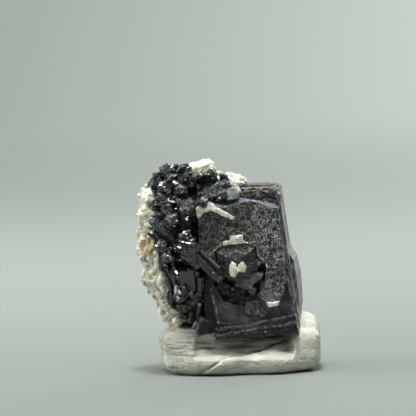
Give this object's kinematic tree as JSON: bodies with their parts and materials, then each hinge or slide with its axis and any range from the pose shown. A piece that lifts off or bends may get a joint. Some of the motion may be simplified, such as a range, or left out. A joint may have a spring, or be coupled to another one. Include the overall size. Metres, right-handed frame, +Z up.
{
  "type": "fluorite with schorl specimen",
  "caption": "Dark fluorite cube with clustered black schorl prisms and cream feldspar on a pale granular matrix, bedded upright in a lump of mineral putty.",
  "frame": {"origin": "centre of the putty's flat underside", "axes": "+Z up through the specimen; the specimen's display side, with the fluorite's broad face, looks to -Y"},
  "size_m": [0.0464, 0.0324, 0.0533],
  "materials": {
    "dark_fluorite": "frosted crystal, near-black purple",
    "black_schorl": "glossy, striated",
    "cream_feldspar": "satin",
    "grey_quartz": "glassy",
    "pale_matrix": "rough, sparkling grains",
    "grey_putty": "matt"
  },
  "bodies": {
    "root": {"fluorite_crystal": "dark_fluorite", "fluorite_small_crystal": "dark_fluorite", "schorl_group": "black_schorl", "schorl_upper_prisms": "black_schorl", "schorl_face_prism": "black_schorl", "schorl_hexagonal_crystal": "black_schorl", "feldspar_ridge": "cream_feldspar", "feldspar_bar": "cream_feldspar", "feldspar_pair": "cream_feldspar", "feldspar_tip": "cream_feldspar", "feldspar_crystal": "cream_feldspar", "quartz_grain": "grey_quartz", "matrix": "pale_matrix", "putty_base": "grey_putty"}
  },
  "joints": []
}
